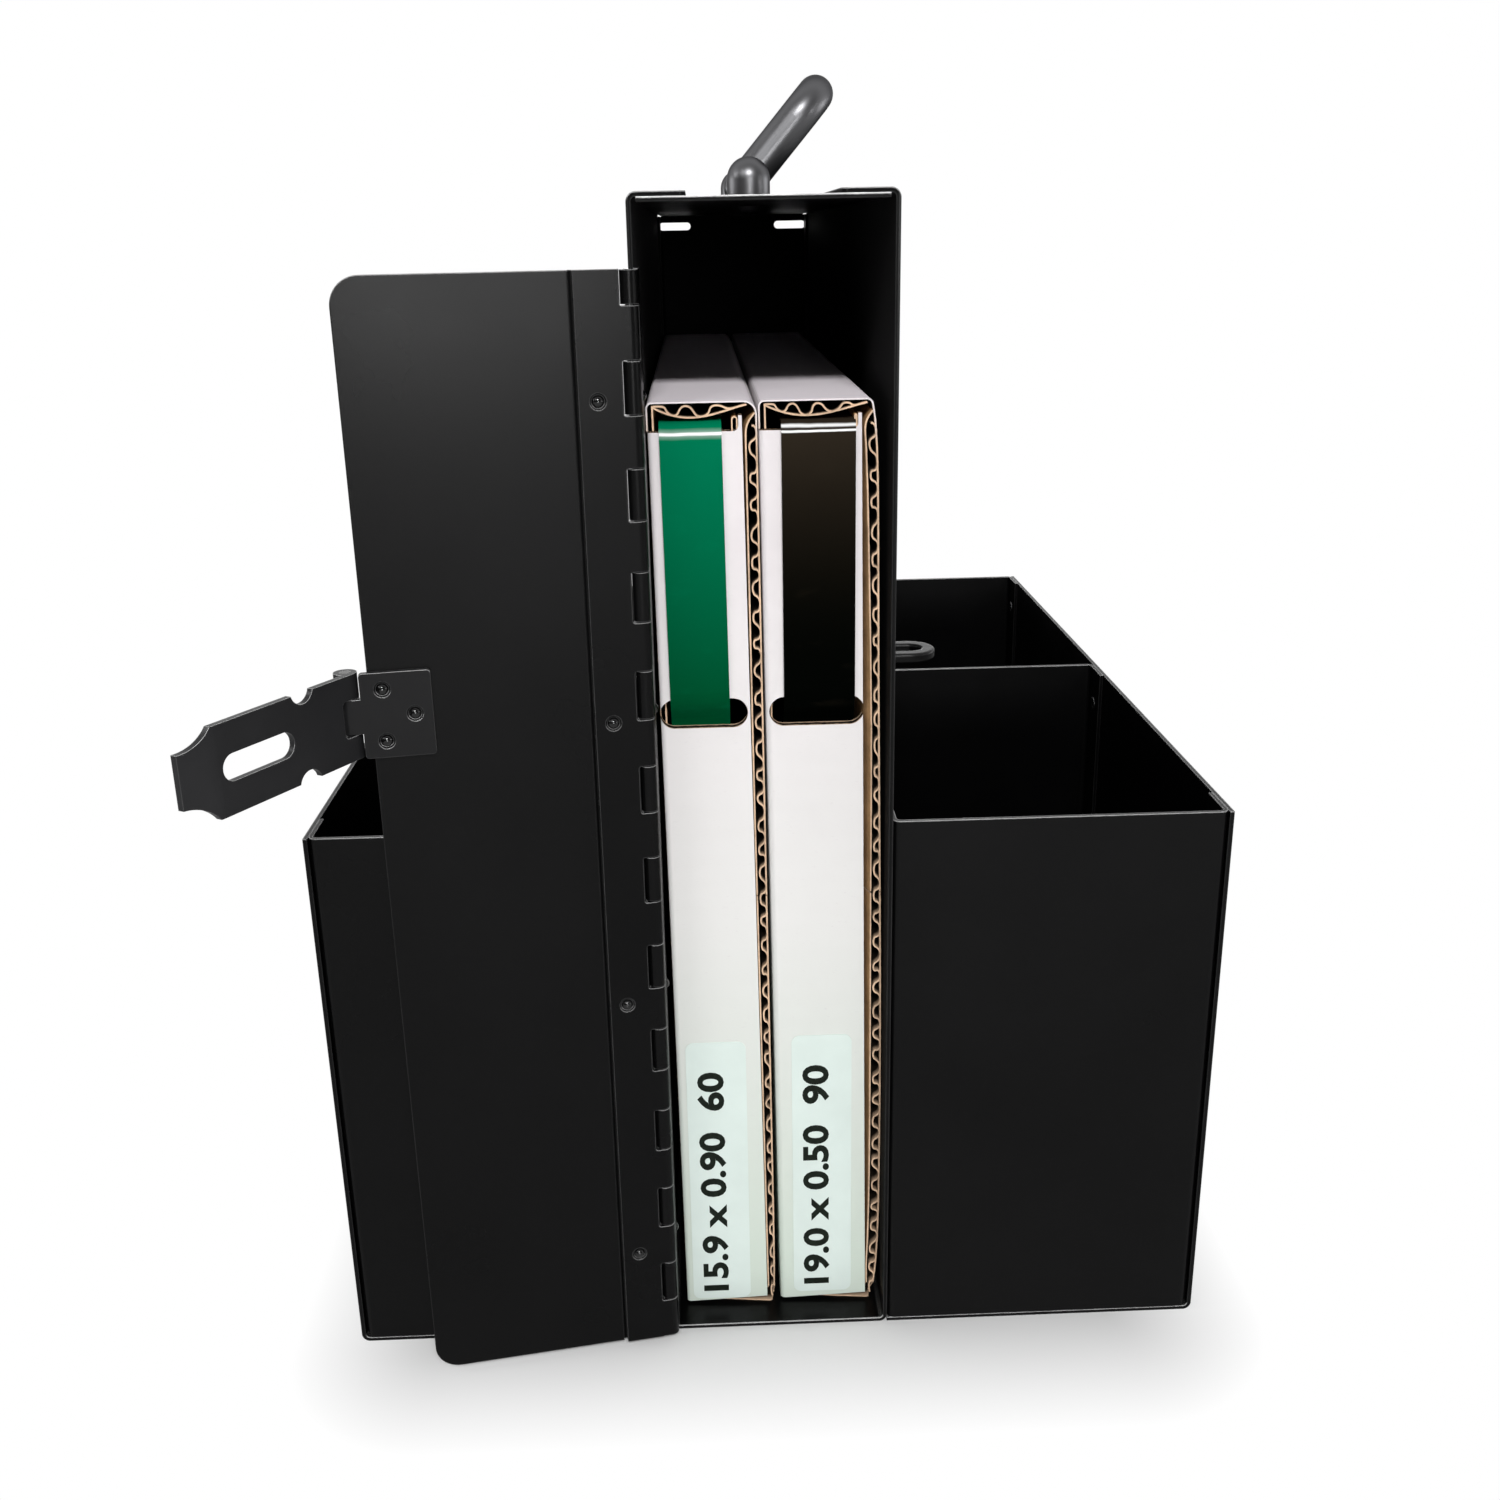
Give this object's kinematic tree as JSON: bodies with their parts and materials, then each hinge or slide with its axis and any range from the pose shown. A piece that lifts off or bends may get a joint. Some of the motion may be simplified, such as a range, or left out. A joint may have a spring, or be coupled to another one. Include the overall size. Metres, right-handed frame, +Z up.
{
  "type": "strapping tote",
  "caption": "Carry tote for steel band: lockable middle compartment with a piano-hinged door and hasp, folding handle on top, open divided bins at the sides, boxed band inside.",
  "frame": {"origin": "centre of the casing's footprint on the floor", "axes": "+Z up, +Y from the door side to the back, +X to the right seen from the door side"},
  "size_m": [0.2605, 0.3668, 0.3607],
  "materials": {
    "black_coat": "satin black powder coat",
    "hinge_steel": "satin black powder coat over hinge strip",
    "hasp_steel": "dark grey coat",
    "rivet_steel": "glossy black coat",
    "handle_steel": "glossy dark grey coat",
    "carton_board": "white corrugated board with brown cut edges",
    "label_paper": "matte paper",
    "green_band": "glossy green coated steel band",
    "black_band": "glossy black coated steel band"
  },
  "bodies": {
    "casing": {"compartment_wrap": "black_coat", "back_panel": "black_coat", "top_plate": "black_coat", "left_bin_shell": "black_coat", "left_bin_front": "black_coat", "left_bin_divider": "black_coat", "left_bin_back": "black_coat", "right_bin_shell": "black_coat", "right_bin_front": "black_coat", "right_bin_divider": "black_coat", "right_bin_back": "black_coat", "staple": "black_coat", "hinge_wall_leaf": "hinge_steel", "hinge_wall_rivets": "rivet_steel", "hinge_pin": "rivet_steel", "handle_front_post": "handle_steel", "handle_rear_post": "handle_steel", "left_carton": "carton_board", "left_band": "green_band", "left_label": "label_paper", "right_carton": "carton_board", "right_band": "black_band", "right_label": "label_paper"},
    "door": {"door_panel": "black_coat", "hinge_door_leaf": "hinge_steel", "hinge_door_rivets": "rivet_steel", "hasp_leaf": "hasp_steel", "hasp_rivets": "rivet_steel", "hasp_pin": "rivet_steel"},
    "hasp": {"hasp_strap": "hasp_steel"},
    "handle": {"handle_bar": "handle_steel"}
  },
  "joints": [
    {"name": "door_hinge", "type": "hinge", "parent": "casing", "child": "door", "pos_m": [-0.03265, -0.1551, 0.1554], "axis": [0, 0, 1], "range_deg": [-9.5, 170.5]},
    {"name": "hasp_hinge", "type": "hinge", "parent": "door", "child": "hasp", "pos_m": [-0.10626, -0.16722, 0.203], "axis": [0, 0, 1], "range_deg": [-221, 39]},
    {"name": "handle_hinge", "type": "hinge", "parent": "casing", "child": "handle", "pos_m": [0, 0, 0.3304], "axis": [0, 1, 0], "range_deg": [-128.2, 45.8]}
  ]
}
